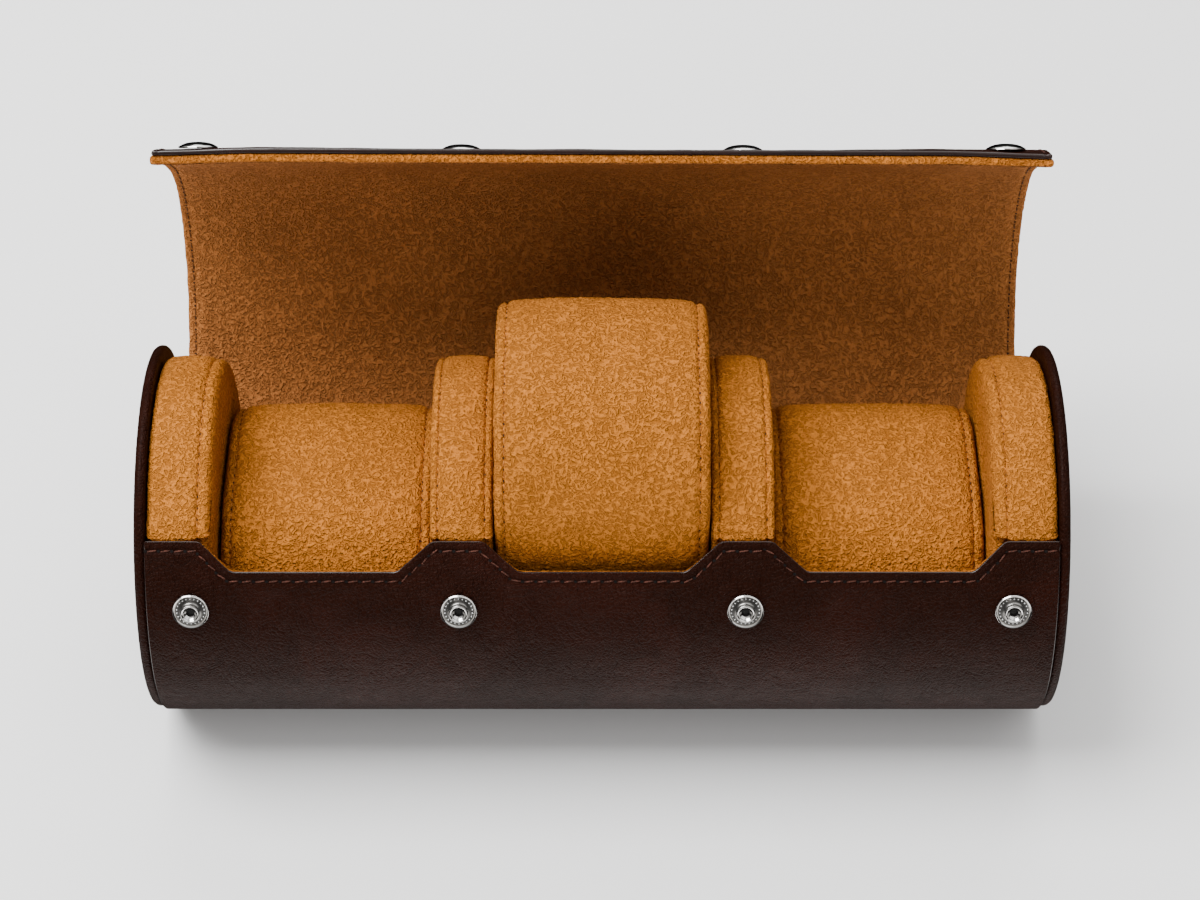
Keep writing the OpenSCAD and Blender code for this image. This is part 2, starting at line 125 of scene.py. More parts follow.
def edgeLine(inset):  # the scalloped front edge as points (x, height), moved inwards
    e = frontEdge
    footIn = e["tabX"] - e["tabTop"] / 2 - e["slope"]
    footOut = e["tabX"] + e["tabTop"] / 2 + e["slope"]
    right = [(footIn, 0), (footIn + e["slope"], e["rise"]), (footOut - e["slope"], e["rise"]), (footOut, 0),
             (e["endTabX"] - e["endSlope"], 0), (e["endTabX"], e["rise"]), (e["beyond"], e["rise"])]
    corners = [Vector(c) for c in [(-x, h) for x, h in reversed(right)] + right]
    moved = []
    for before, corner, after in zip(corners, corners[1:], corners[2:]):
        a, b = (corner - before).normalized(), (after - corner).normalized()
        inwards = Vector((a.y + b.y, -a.x - b.x)).normalized()
        moved.append(corner + inwards * inset / inwards.dot(Vector((a.y, -a.x))))
    ends = [Vector((x, e["rise"] - inset)) for x in (-e["beyond"], e["beyond"])]
    moved = [ends[0]] + moved + [ends[1]]
    line = []
    for before, corner, after in zip(moved, moved[1:], moved[2:]):
        tabTop = corner.y > before.y or corner.y > after.y
        radius = max(e["leastRound"], e["round"] + (-inset if tabTop else inset))
        line += roundCorner(before, corner, after, radius)
    return [moved[0]] + line + [moved[-1]]


def edgeAngle(height):  # angle round the drum of a height over the low stretches
    return frontEdge["angle"] + math.degrees(math.asin(height / drum["leatherR"]))


def clearSelection():
    if bpy.context.mode != "OBJECT":
        bpy.ops.object.mode_set(mode="OBJECT")
    bpy.ops.object.select_all(action="DESELECT")


def choose(obj):
    clearSelection()
    obj.select_set(True)
    bpy.context.view_layer.objects.active = obj


def nameNew(name):
    obj = bpy.context.object
    obj.name = obj.data.name = name
    return obj


def joined(parts, name):
    clearSelection()
    for part in parts:
        part.select_set(True)
    bpy.context.view_layer.objects.active = parts[0]
    bpy.ops.object.join()
    return nameNew(name)


def bentSheet(name, xs, rows, placer):  # a grid whose vertex (i, j) goes to placer(xs[i], rows[j])
    clearSelection()
    bpy.ops.mesh.primitive_grid_add(x_subdivisions=len(xs) - 1, y_subdivisions=len(rows) - 1, size=1)
    sheet = nameNew(name)
    for v in sheet.data.vertices:
        i = round((v.co.x + 0.5) * (len(xs) - 1))
        j = round((v.co.y + 0.5) * (len(rows) - 1))
        v.co = placer(xs[i], rows[j])
    return sheet


def modify(obj, kind, **values):
    choose(obj)
    modifier = obj.modifiers.new(kind.title(), kind)
    for key, value in values.items():
        setattr(modifier, key, value)
    bpy.ops.object.modifier_apply(modifier=modifier.name)


rimBevel = {"segments": 3, "sharpness": 50, "within": 0.05}


def thicken(obj, thickness, bevel, meets=()):  # a sheet gets its wall; an end that meets another stays sharp
    group = obj.vertex_groups[0].name if obj.vertex_groups else ""
    modify(obj, "SOLIDIFY", thickness=thickness * mm, offset=-1, use_even_offset=True, material_offset_rim=1,
           vertex_group=group)
    choose(obj)
    bpy.ops.object.mode_set(mode="EDIT")
    bpy.ops.mesh.select_mode(type="EDGE")
    bpy.ops.mesh.select_all(action="DESELECT")
    bpy.ops.mesh.edges_select_sharp(sharpness=math.radians(rimBevel["sharpness"]))
    bpy.ops.object.mode_set(mode="OBJECT")
    vertices = obj.data.vertices
    rim = {key for face in obj.data.polygons if face.material_index for key in face.edge_keys}
    for edge in [e for e in obj.data.edges if e.select]:
        middle = (vertices[edge.vertices[0]].co + vertices[edge.vertices[1]].co) / 2
        meeting = any(abs((middle - spot).dot(across)) < rimBevel["within"] * mm for spot, across in meets)
        if meeting or (rim and edge.key not in rim):
            edge.select = False
    bpy.ops.object.mode_set(mode="EDIT")
    bpy.ops.mesh.bevel(offset=bevel * mm, segments=rimBevel["segments"], affect="EDGES")
    bpy.ops.object.mode_set(mode="OBJECT")


def soften(obj, texture, strength):  # uneven surface, the same where two pieces meet
    modify(obj, "DISPLACE", texture=texture, strength=strength * mm, mid_level=0.5,
           texture_coords="LOCAL")


def closeUp(obj, distance):  # merges seams and poles, and turns the faces outwards
    choose(obj)
    bpy.ops.object.mode_set(mode="EDIT")
    bpy.ops.mesh.select_all(action="SELECT")
    bpy.ops.mesh.remove_doubles(threshold=distance * mm)
    bpy.ops.mesh.normals_make_consistent(inside=False)
    bpy.ops.object.mode_set(mode="OBJECT")


def smooth(obj, angle=40):
    choose(obj)
    bpy.ops.object.shade_smooth_by_angle(angle=math.radians(angle))


def coat(obj, *materials):
    for material in materials:
        obj.data.materials.append(material)


def dress(obj, body, material, slot, *nodes):
    if not obj.data.materials:
        coat(obj, material)
    if body:
        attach(obj, body)
    if nodes:
        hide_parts(*nodes)


def spread(start, end, step):
    count = max(1, round(abs(end - start) / step))
    return [start + (end - start) * i / count for i in range(count + 1)]


def tone(*screen):  # red, green and blue on a screen, 0 to 255, as the shader wants them
    parts = [c / 255 for c in screen]
    return (*(c / 12.92 if c < 0.04045 else ((c + 0.055) / 1.055) ** 2.4 for c in parts), 1)


def newGroup(name, inputs, outputs):
    group = bpy.data.node_groups.new(name, "ShaderNodeTree")
    for label, kind, value in inputs:
        group.interface.new_socket(label, in_out="INPUT", socket_type=kind).default_value = value
    for label, kind in outputs:
        group.interface.new_socket(label, in_out="OUTPUT", socket_type=kind)
    return group, group.nodes.new("NodeGroupInput").outputs, group.nodes.new("NodeGroupOutput").inputs


def addNode(tree, kind, settings=None, **inputs):  # inputs are values, or sockets to link from
    node = tree.nodes.new("ShaderNode" + kind)
    for key, value in (settings or {}).items():
        setattr(node, key, value)
    for key, value in inputs.items():
        socket = node.inputs[int(key[1:])] if key[0] == "i" and key[1:].isdigit() else node.inputs[key]
        if isinstance(value, bpy.types.NodeSocket):
            tree.links.new(value, socket)
        else:
            socket.default_value = value
    return node


def noiseOf(tree, vector, scale, detail=2, roughness=0.5, distortion=0):
    return addNode(tree, "TexNoise", Vector=vector, Scale=scale, Detail=detail,
                   Roughness=roughness, Distortion=distortion).outputs["Fac"]


def calc(tree, operation, a, b=0.0, c=0.0):
    return addNode(tree, "Math", {"operation": operation}, i0=a, i1=b, i2=c).outputs[0]


def band(tree, value, low, high):  # 0 at low, 1 at high, smooth between
    smoothly = {"interpolation_type": "SMOOTHSTEP"}
    return addNode(tree, "MapRange", smoothly, i0=value, i1=low, i2=high).outputs[0]


def mixed(tree, factor, a, b):
    return addNode(tree, "Mix", {"data_type": "RGBA"}, i0=factor, i6=a, i7=b).outputs[2]


def newMaterial(name, **values):
    material = bpy.data.materials.new(name)
    material.use_nodes = True
    shader = material.node_tree.nodes["Principled BSDF"]
    for key, value in values.items():
        shader.inputs[key.replace("_", " ")].default_value = value
    return material, material.node_tree, shader


def raiseFrom(tree, shader, height, bump, distance):
    relief = addNode(tree, "Bump", Strength=bump, Distance=distance, Height=height)
    tree.links.new(relief.outputs["Normal"], shader.inputs["Normal"])


def placeGroup(tree, group, shader, bump, distance, **values):
    node = tree.nodes.new("ShaderNodeGroup")
    node.node_tree = group
    for key, value in values.items():
        node.inputs[key.replace("_", " ")].default_value = value
    tree.links.new(node.outputs["Color"], shader.inputs["Base Color"])
    tree.links.new(node.outputs["Roughness"], shader.inputs["Roughness"])
    raiseFrom(tree, shader, node.outputs["Height"], bump, distance)


waves = bpy.data.textures.new("hideWaves", "CLOUDS")
waves.noise_scale = 0.014
naps = bpy.data.textures.new("napTufts", "CLOUDS")
naps.noise_scale = 0.0013

cameraSetup = {"spot": (-0.00048, -0.56569, 0.60773), "tiltDown": 43.71, "lens": 100, "sensor": 36,
               "nearest": 0.01}  # spot and nearest in metres
clearSelection()
bpy.ops.object.camera_add(location=cameraSetup["spot"],
                          rotation=(math.radians(90 - cameraSetup["tiltDown"]), 0, 0))
camera = bpy.context.object
camera.data.lens = cameraSetup["lens"]
camera.data.sensor_width = cameraSetup["sensor"]
camera.data.clip_start = cameraSetup["nearest"]
bpy.context.scene.camera = camera
print("camera in place")

floorSetup = {"size": 3.2, "below": 0.0001, "tone": (0.88, 0.88, 0.88, 1), "roughness": 0.55}  # in metres
clearSelection()
bpy.ops.mesh.primitive_plane_add(size=floorSetup["size"], location=(0, 0, -floorSetup["below"]))
floor = nameNew("floor")
coat(floor, newMaterial("paleFloor", Base_Color=floorSetup["tone"], Roughness=floorSetup["roughness"])[0])
floor.visible_glossy = False  # gloss reflects the sky's lower half instead

backdropSetup = {"segments": 48, "rings": 24, "radius": 4, "tone": (1, 1, 0.993, 1)}  # in metres
clearSelection()
bpy.ops.mesh.primitive_uv_sphere_add(segments=backdropSetup["segments"], ring_count=backdropSetup["rings"],
                                     radius=backdropSetup["radius"])
backdrop = nameNew("backdrop")
coat(backdrop, newMaterial("paleBackdrop", Base_Color=(0, 0, 0, 1), Specular_IOR_Level=0,
                           Emission_Color=backdropSetup["tone"], Emission_Strength=1)[0])
for kindOfRay in ("diffuse", "glossy", "transmission", "volume_scatter", "shadow"):  # it only fills the view
    setattr(backdrop, "visible_" + kindOfRay, False)

lamps = {  # spot and target in metres, size, power in watts
    "keyLamp": ((-0.6, 0.02, 1.22), (0, 0, 0.05), 0.9, 36),
    "fillLamp": ((0.85, -0.4, 0.95), (0, 0, 0.05), 1.2, 4),
    "backLamp": ((0.1, 1.1, 1.0), (0, 0, 0.08), 1.2, 15),
    "frontLamp": ((-0.1, -1.0, 0.26), (0, 0.04, 0.12), 1.0, 8.5),
}
for lampName, (spot, target, size, power) in lamps.items():
    bpy.ops.object.light_add(type="AREA", location=spot)
    lamp = bpy.context.object
    lamp.name = lampName
    lamp.data.size = size
    lamp.data.energy = power
    lamp.visible_glossy = lampName != "frontLamp"
    lamp.rotation_euler = (Vector(target) - Vector(spot)).to_track_quat("-Z", "Y").to_euler()

skySetup = {"tone": (1, 0.98, 0.96, 1),  # brightness by height: 0 straight down, 1 straight up
            "levels": ((0, 2.3), (0.14, 4.1), (0.28, 1.9), (0.38, 0.03), (0.58, 0.03), (0.8, 0.5), (1, 0.95)),
            "front": (0.36, -0.1), "upper": (-0.1, 0.1)}  # behind and below is the case's own shade
world = bpy.data.worlds.new("studioSky")
bpy.context.scene.world = world
world.use_nodes = True
sky = world.node_tree
skyLight = sky.nodes["Background"]
skyLight.inputs["Color"].default_value = skySetup["tone"]
aim = addNode(sky, "SeparateXYZ", Vector=addNode(sky, "TexCoord").outputs["Generated"]).outputs
height = addNode(sky, "MapRange", i0=aim["Z"], i1=-1).outputs[0]
skyLevel = addNode(sky, "ValToRGB", Fac=height)
while len(skyLevel.color_ramp.elements) < len(skySetup["levels"]):
    skyLevel.color_ramp.elements.new(0.5)
for stop, (position, level) in zip(skyLevel.color_ramp.elements, skySetup["levels"]):
    stop.position, stop.color = position, (level, level, level, 1)
front = addNode(sky, "MapRange", i0=aim["Y"], i1=skySetup["front"][0], i2=skySetup["front"][1]).outputs[0]
upper = addNode(sky, "MapRange", i0=aim["Z"], i1=skySetup["upper"][0], i2=skySetup["upper"][1]).outputs[0]
shown = calc(sky, "MULTIPLY", skyLevel.outputs["Color"], calc(sky, "MAXIMUM", front, upper))
sky.links.new(shown, skyLight.inputs["Strength"])
print("floor and lights in place")


napSet = {"lie": (2, 0.45, 0.4), "cloud": (4, 0.6, 0.4),  # noises: detail, roughness and distortion
          "curls": 30, "partings": (-0.95, 0.35), "finer": 2.2, "curlShare": 0.62, "wider": 0.3,
          "cloudShare": 0.55, "contrast": (0.3, 0.7), "dull": 0.98, "tipShine": -0.1,
          "hemHighlight": (0.0988, 0.103)}  # in metres from the middle


def suedeGroup():  # short curled fibres over cloudy, brushed patches
    group, given, result = newGroup(
        "suedeNap",
        [("Light", "NodeSocketColor", (1, 1, 1, 1)), ("Dark", "NodeSocketColor", (0, 0, 0, 1)),
         ("Nap Scale", "NodeSocketFloat", 450), ("Nap Depth", "NodeSocketFloat", 0.4),
         ("Patch Scale", "NodeSocketFloat", 40), ("Patch Depth", "NodeSocketFloat", 0.3),
         ("Hem", "NodeSocketFloat", 0.0)],
        [("Color", "NodeSocketColor"), ("Height", "NodeSocketFloat"), ("Roughness", "NodeSocketFloat")])
    spot = addNode(group, "TexCoord").outputs["Object"]
    fineness, patchScale = given["Nap Scale"], given["Patch Scale"]
    # lines of even height in a noise curl like fibres, with narrow low partings between them, which the
    # colour also darkens as painted shade
    lie = noiseOf(group, spot, fineness, *napSet["lie"])
    curls = calc(group, "SINE", calc(group, "MULTIPLY", lie, napSet["curls"]))
    curls = band(group, curls, *napSet["partings"])
    broken = noiseOf(group, spot, calc(group, "MULTIPLY", fineness, napSet["finer"]), 2, 0.6)
    broken = calc(group, "MULTIPLY", band(group, broken, *napSet["contrast"]), 1 - napSet["curlShare"])
    fibres = calc(group, "MULTIPLY_ADD", curls, napSet["curlShare"], broken)
    cloud = noiseOf(group, spot, patchScale, *napSet["cloud"])
    wide = noiseOf(group, spot, calc(group, "MULTIPLY", patchScale, napSet["wider"]), 2, 0.5)
    wide = calc(group, "MULTIPLY", wide, 1 - napSet["cloudShare"])
    patches = calc(group, "MULTIPLY_ADD", cloud, napSet["cloudShare"], wide)
    patches = band(group, patches, *napSet["contrast"])
    # the fibres set the colour too: partly the nap's own tone, partly painted shade in the partings and
    # painted light on the fibres
    nap = calc(group, "MULTIPLY_ADD", calc(group, "SUBTRACT", fibres, 0.5), given["Nap Depth"], 0.5)
    worn = calc(group, "MULTIPLY_ADD", calc(group, "SUBTRACT", patches, 0.5), given["Patch Depth"], nap)
    ends = calc(group, "ABSOLUTE", addNode(group, "SeparateXYZ", Vector=spot).outputs["X"])
    hemHighlight = band(group, ends, *napSet["hemHighlight"])  # painted highlight: lighter colour in a band at both ends, along the turned hem
    level = addNode(group, "Clamp", Value=calc(group, "MULTIPLY_ADD", hemHighlight, given["Hem"], worn)).outputs[0]
    group.links.new(mixed(group, level, given["Dark"], given["Light"]), result["Color"])
    group.links.new(fibres, result["Height"])
    rough = calc(group, "MULTIPLY_ADD", fibres, napSet["tipShine"], napSet["dull"])
    group.links.new(rough, result["Roughness"])
    return group


grainSet = {"fold": (130, 3, 0.55, 1.4), "cloud": (30, 5, 0.6, 0.8), "swell": (60, 1),  # noises, scale first
            "pebbleTo": 0.22, "pores": 0.45, "creaseTo": 0.035, "rubbed": (0.42, 0.66),
            "poreHeight": 0.6, "pebbleHeight": 0.35, "swellHeight": 3.2, "creaseHeight": 0.5,
            "rubbedShine": -0.06, "poreDull": 0.12}


def leatherGroup():  # fine pebbled grain with faint creases and warmer, rubbed patches
    group, given, result = newGroup(
        "leatherGrain",
        [("Base", "NodeSocketColor", (0, 0, 0, 1)), ("Warm", "NodeSocketColor", (1, 0, 0, 1)),
         ("Grain Scale", "NodeSocketFloat", 1000), ("Dullness", "NodeSocketFloat", 0.46)],
        [("Color", "NodeSocketColor"), ("Height", "NodeSocketFloat"), ("Roughness", "NodeSocketFloat")])
    spot = addNode(group, "TexCoord").outputs["Object"]
    fineness = given["Grain Scale"]
    cells = addNode(group, "TexVoronoi", {"feature": "DISTANCE_TO_EDGE"}, Vector=spot, Scale=fineness)
    pebble = band(group, cells.outputs["Distance"], 0.0, grainSet["pebbleTo"])
    pores = noiseOf(group, spot, calc(group, "MULTIPLY", fineness, grainSet["pores"]), 3, 0.6)
    fold = noiseOf(group, spot, *grainSet["fold"])
    crease = calc(group, "ABSOLUTE", calc(group, "SUBTRACT", fold, 0.5))
    crease = band(group, crease, 0.0, grainSet["creaseTo"])
    rubbed = band(group, noiseOf(group, spot, *grainSet["cloud"]), *grainSet["rubbed"])
    group.links.new(mixed(group, rubbed, given["Base"], given["Warm"]), result["Color"])
    height = calc(group, "MULTIPLY", pebble, grainSet["pebbleHeight"])
    height = calc(group, "MULTIPLY_ADD", pores, grainSet["poreHeight"], height)
    swell = noiseOf(group, spot, *grainSet["swell"])  # the hide's soft swells
    height = calc(group, "MULTIPLY_ADD", swell, grainSet["swellHeight"], height)
    group.links.new(calc(group, "MULTIPLY_ADD", crease, grainSet["creaseHeight"], height), result["Height"])
    rough = calc(group, "MULTIPLY_ADD", rubbed, grainSet["rubbedShine"], given["Dullness"])
    group.links.new(calc(group, "MULTIPLY_ADD", pores, grainSet["poreDull"], rough), result["Roughness"])
    return group


suedeNap = suedeGroup()
leatherGrain = leatherGroup()


suedeLooks = {  # light and dark tones, nap scale, nap tone and shade, patch scale and depth, painted highlight at the hem
    "honeySuede": (tone(202, 124, 46), tone(110, 60, 12), 560, 0.5, 45, 0.16, 0),
    # the lid's lining is the same suede in darker tones: painted shade for the lid's inside
    "lidSuedeShaded": (tone(178, 112, 58), tone(100, 58, 26), 540, 0.42, 38, 0.26, 0.3),
    "edgeSuede": (tone(202, 122, 48), tone(112, 60, 14), 600, 0.55, 45, 0.16, 0),
}
suedes = {}
for suedeName, (light, dark, napScale, napToneAndShade, patchScale, patchDepth, hemHighlight) in suedeLooks.items():
    suede, tree, shader = newMaterial(suedeName, Sheen_Weight=0.03, Sheen_Roughness=0.5,
                                      Sheen_Tint=tone(255, 190, 120), Specular_IOR_Level=0.04)
    placeGroup(tree, suedeNap, shader, bump=1.0, distance=0.00085, Light=light, Dark=dark,
               Nap_Scale=napScale, Nap_Depth=napToneAndShade, Patch_Scale=patchScale, Patch_Depth=patchDepth,
               Hem=hemHighlight)
    suedes[suedeName] = suede

brownLeather, tree, shader = newMaterial("brownLeather", Specular_IOR_Level=0.04, Coat_Weight=0.02,
                                         Coat_Roughness=0.3, Specular_Tint=(1, 0.7, 0.6, 1))
placeGroup(tree, leatherGrain, shader, bump=0.7, distance=0.0008, Base=tone(28, 10, 5),
           Warm=tone(35, 13, 7), Grain_Scale=1100, Dullness=0.37)
paintedEdge, tree, shader = newMaterial("paintedEdge", Specular_IOR_Level=0.5, Coat_Weight=0.15,
                                        Coat_Roughness=0.2)
placeGroup(tree, leatherGrain, shader, bump=0.08, distance=0.0002, Base=tone(26, 12, 9),
           Warm=tone(32, 15, 11), Grain_Scale=500, Dullness=0.24)
print("suede and leather mixed")


threadStrands = (2600, 2, 0.6)  # scale, detail and roughness of the noise


def threadMaterial(name, light, dark):
    material, tree, shader = newMaterial(name, Roughness=0.75, Specular_IOR_Level=0.2)
    spot = addNode(tree, "TexCoord").outputs["Object"]
    strands = noiseOf(tree, spot, *threadStrands)
    tree.links.new(mixed(tree, band(tree, strands, 0.35, 0.65), dark, light), shader.inputs["Base Color"])
    raiseFrom(tree, shader, strands, bump=0.5, distance=0.0002)
    return material


leatherThread = threadMaterial("leatherThread", tone(90, 52, 41), tone(46, 26, 19))
suedeThread = threadMaterial("suedeThread", tone(196, 124, 54), tone(122, 68, 20))
# the suede thread in darker tones: painted shade for the stitches inside the lid
lidThreadShaded = threadMaterial("lidThreadShaded", tone(112, 66, 26), tone(60, 32, 10))
# a needle hole is a flat disc in a dark tone: painted shade in the hole
holeShadeUnder = {leatherThread: threadMaterial("leatherHoleShade", tone(14, 7, 5), tone(6, 3, 2)),
             suedeThread: threadMaterial("suedeHoleShade", tone(66, 34, 8), tone(34, 16, 4))}
holeShadeUnder[lidThreadShaded] = holeShadeUnder[suedeThread]

steelSet = {"smear": (900, 3, 0.6), "ripple": (1600, 2), "stain": (700, 3, 0.6),  # noises
            "clean": (0.84, 0.83, 0.81, 1), "smeared": (0.7, 0.69, 0.67, 1), "smearDull": (0.08, 0.04),
            "bright": (0.52, 0.51, 0.49, 1), "stained": (0.1, 0.095, 0.09, 1), "stainDull": (0.2, 0.2)}
polishedSteel, tree, shader = newMaterial("polishedSteel", Metallic=1.0)
spot = addNode(tree, "TexCoord").outputs["Object"]
smear = noiseOf(tree, spot, *steelSet["smear"])
tree.links.new(calc(tree, "MULTIPLY_ADD", smear, *steelSet["smearDull"]), shader.inputs["Roughness"])
raiseFrom(tree, shader, noiseOf(tree, spot, *steelSet["ripple"]), bump=0.12, distance=0.0001)
tree.links.new(mixed(tree, smear, steelSet["clean"], steelSet["smeared"]), shader.inputs["Base Color"])
# painted shade for the inside of the studs' open eyes
studEyeShade = threadMaterial("studEyeShade", tone(34, 32, 31), tone(14, 13, 13))
agedSteel, tree, shader = newMaterial("agedSteel", Metallic=1.0)
stain = noiseOf(tree, addNode(tree, "TexCoord").outputs["Object"], *steelSet["stain"])
tree.links.new(mixed(tree, stain, steelSet["bright"], steelSet["stained"]), shader.inputs["Base Color"])
tree.links.new(calc(tree, "MULTIPLY_ADD", stain, *steelSet["stainDull"]), shader.inputs["Roughness"])
print("thread and steel mixed")


stitchCut = {"sides": 6, "rings": 4, "slant": 5, "holeSides": 7, "holeStretch": 1.1, "nearby": 0.2}
clearSelection()
bpy.ops.mesh.primitive_uv_sphere_add(segments=stitchCut["sides"], ring_count=stitchCut["rings"],
                                     radius=0.5, rotation=(0, math.radians(90), 0))
bpy.ops.object.transform_apply(location=False, rotation=True, scale=False)
oneStitch = nameNew("oneStitch")
bpy.ops.object.shade_smooth()
# a flat disc for a needle hole, which its dark material fills with painted shade
clearSelection()
bpy.ops.mesh.primitive_circle_add(vertices=stitchCut["holeSides"], radius=0.5, fill_type="NGON")
holeShadeDisc = nameNew("holeShadeDisc")


def alongLine(points, normals, pitch):  # even steps: spot, direction and normal
    steps = [(b - a).length for a, b in zip(points, points[1:])]
    reach = np.concatenate([[0], np.cumsum(steps)])
    count = max(1, round(reach[-1] / pitch))
    pitch = reach[-1] / count
    line, ups = np.array(points), np.array(normals)

    def at(s, table):
        return Vector([np.interp(s, reach, table[:, k]) for k in range(3)])
    for i in range(count):
        s, near = (i + 0.5) * pitch, pitch * stitchCut["nearby"]
        ahead = (at(s + near, line) - at(s - near, line)).normalized()
        yield at(s, line), ahead, at(s, ups).normalized()


def stitchRow(name, points, normals, look, thread):  # a stitch at each step, and a dark disc between two, painted shade for the needle hole
    parts = []
    slant = Matrix.Rotation(math.radians(look.get("slant", stitchCut["slant"])), 3, "Z")
    kinds = (  # mesh, material, size, shift, turn
        (oneStitch, thread, (look["length"], look["width"], look["width"]), (0, 0, -look["sink"]), slant),
        (holeShadeDisc, holeShadeUnder[thread], (look["hole"] * stitchCut["holeStretch"], look["hole"], 1),
         (-look["pitch"] / 2, 0, look["holeLift"]), Matrix.Identity(3)))
    for spot, ahead, up in alongLine(points, normals, look["pitch"] * mm):
        side = up.cross(ahead).normalized()
        frameOf = Matrix((ahead, side, up)).transposed()
        for source, material, size, shift, turn in kinds:
            part = bpy.data.objects.new(name, source.data.copy())
            bpy.context.collection.objects.link(part)
            setting = (frameOf @ turn @ Matrix.Diagonal(Vector(size) * mm)).to_4x4()
            setting.translation = spot + frameOf @ (Vector(shift) * mm)
            part.data.transform(setting)
            coat(part, material)
            parts.append(part)
    return joined(parts, name)


def lathe(name, profile, steps):  # turns (radius, height) points about Z into a closed form
    clearSelection()
    bpy.ops.mesh.primitive_circle_add(vertices=len(profile), radius=1, fill_type="NOTHING")
    turned = nameNew(name)
    for v, (r, h) in zip(turned.data.vertices, profile):
        v.co = Vector((r, 0, h)) * mm
    bpy.ops.object.mode_set(mode="EDIT")
    bpy.ops.mesh.select_all(action="SELECT")
    bpy.ops.mesh.spin(steps=steps, angle=math.tau, center=(0, 0, 0), axis=(0, 0, 1))
    bpy.ops.object.mode_set(mode="OBJECT")
    closeUp(turned, 0.005)
    return turned


# the drum's leather, with its scalloped front edge
edgePoints = edgeLine(0)
edgeXs, edgeHeights = [p.x for p in edgePoints], [p.y for p in edgePoints]
stitchedLine = np.array([tuple(p) for p in edgeLine(frontEdge["stitchInset"])])
bodyHide = {"columnStep": 0.8, "fineRows": (4.4, 0.34), "rowStep": 2.6, "grooveDeep": 0.3,
            "grooveWide": 0.55, "grooveReach": 7, "plump": 0.14, "plumpAt": 1.4, "plumpWide": 0.8,
            "steadyFrom": 12, "bevel": 0.42}


def riseAt(x):
    return float(np.interp(x, edgeXs, edgeHeights))


def fromStitching(x, height):
    a, b = stitchedLine[:-1], stitchedLine[1:]
    ab = b - a
    t = np.clip(((x - a[:, 0]) * ab[:, 0] + (height - a[:, 1]) * ab[:, 1]) / (ab ** 2).sum(1), 0, 1)
    return float(np.hypot(a[:, 0] + t * ab[:, 0] - x, a[:, 1] + t * ab[:, 1] - height).min())


def bodyPlace(x, below):
    top = edgeAngle(riseAt(x))
    lowTop, radius = frontEdge["angle"], drum["leatherR"]
    steady = bodyHide["steadyFrom"]
    if below > steady:  # the tabs' extra height is taken up lower down
        reach = math.radians(top + 360 - drum["seamAngle"]) * radius - steady
        lowReach = math.radians(lowTop + 360 - drum["seamAngle"]) * radius - steady
        below = steady + (below - steady) * reach / lowReach
    angle = top - math.degrees(below / radius)
    dip = 0
    if below < bodyHide["grooveReach"]:
        gap = fromStitching(x, radius * math.sin(math.radians(angle - lowTop)))
        dip = bodyHide["grooveDeep"] * math.exp(-(gap / bodyHide["grooveWide"]) ** 2)
        dip -= bodyHide["plump"] * math.exp(-((gap - bodyHide["plumpAt"]) / bodyHide["plumpWide"]) ** 2)
    return onDrum(x, angle, radius - dip)


columns = spread(-drum["halfLength"], drum["halfLength"], bodyHide["columnStep"])
fineTo, fineStep = bodyHide["fineRows"]
allDown = math.radians(frontEdge["angle"] + 360 - drum["seamAngle"]) * drum["leatherR"]
rows = spread(allDown, fineTo, bodyHide["rowStep"]) + spread(fineTo, 0, fineStep)[1:]
bodyLeather = bentSheet("bodyLeather", columns, rows, bodyPlace)
coat(bodyLeather, brownLeather, paintedEdge)
thicken(bodyLeather, drum["leatherThick"], bodyHide["bevel"])
smooth(bodyLeather)
dress(bodyLeather, "case", brownLeather, "outer_leather", "body_leather")

frontStitch = {"pitch": 3.0, "length": 2.5, "width": 0.44, "sink": -0.05, "hole": 0.74, "holeLift": 0.22,
               "slant": 9, "endGap": 0.3}
stitchedTo = drum["halfLength"] - frontStitch["endGap"]
stitchedR = drum["leatherR"] - bodyHide["grooveDeep"]
line, ups = [], []
for x, height in stitchedLine:
    if abs(x) < stitchedTo:
        angle = edgeAngle(height)
        line.append(onDrum(x, angle, stitchedR))
        ups.append(Vector((0, -math.cos(math.radians(angle)), math.sin(math.radians(angle)))))
endAngle = edgeAngle(frontEdge["rise"] - frontEdge["stitchInset"])  # the row runs out to the drum's ends
line = [onDrum(-stitchedTo, endAngle, stitchedR)] + line + [onDrum(stitchedTo, endAngle, stitchedR)]
ups = [ups[0]] + ups + [ups[-1]]
frontStitches = stitchRow("frontStitches", line, ups, frontStitch, leatherThread)
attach(frontStitches, "case")
print("drum leather stitched")

# the drum's lining over its board
bodyLiningSet = {"low": -0.65, "columnStep": 1.0, "rimRows": (0, 0.004, 0.008, 0.014, 0.022, 0.035),
                 "rowStep": 0.022, "bevel": 0.8}  # rows are shares of the way round


def liningPlace(x, share):
    top = edgeAngle(riseAt(x) + bodyLiningSet["low"])
    return onDrum(x, top - share * (top + 360 - drum["rimAngle"]), drum["boardR"])


columns = spread(-drum["halfLength"], drum["halfLength"], bodyLiningSet["columnStep"])
rows = [*bodyLiningSet["rimRows"][:-1]] + spread(bodyLiningSet["rimRows"][-1], 1, bodyLiningSet["rowStep"])
bodyLining = bentSheet("bodyLining", columns, rows[::-1], liningPlace)
thicken(bodyLining, drum["boardR"] - drum["boreR"], bodyLiningSet["bevel"])
smooth(bodyLining)
dress(bodyLining, "case", suedes["honeySuede"], "suede", "body_lining", "body_board")

